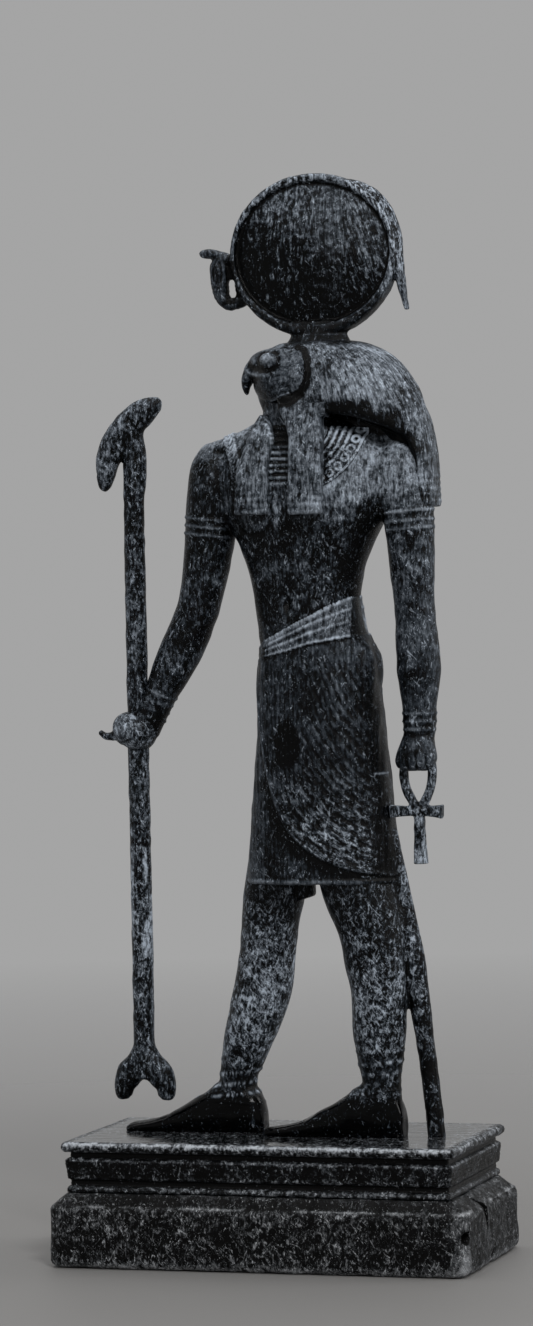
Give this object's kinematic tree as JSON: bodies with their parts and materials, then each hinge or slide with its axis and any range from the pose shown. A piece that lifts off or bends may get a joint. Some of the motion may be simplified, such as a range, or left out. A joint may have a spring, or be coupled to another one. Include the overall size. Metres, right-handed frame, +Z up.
{
  "type": "horus falcon figure",
  "caption": "Striding falcon-headed god figurine with sun disc, long wig, kilt, tail, staff and ankh, on a moulded plinth and a bevelled base block.",
  "frame": {"origin": "middle of the base block's underside", "axes": "+Z up, the figure strides towards -X and turns its chest towards -Y"},
  "size_m": [0.1194, 0.0616, 0.3],
  "materials": {
    "dark_casting": "dark satin coat worn to a pale blue-white grain",
    "plinth_casting": "dark gloss coat with worn pale edges",
    "worn_block": "rough dark coat with pale flecks"
  },
  "bodies": {
    "root": {"figure": "dark_casting", "was_sceptre": "dark_casting", "plinth": "plinth_casting", "base_block": "worn_block"}
  },
  "joints": []
}
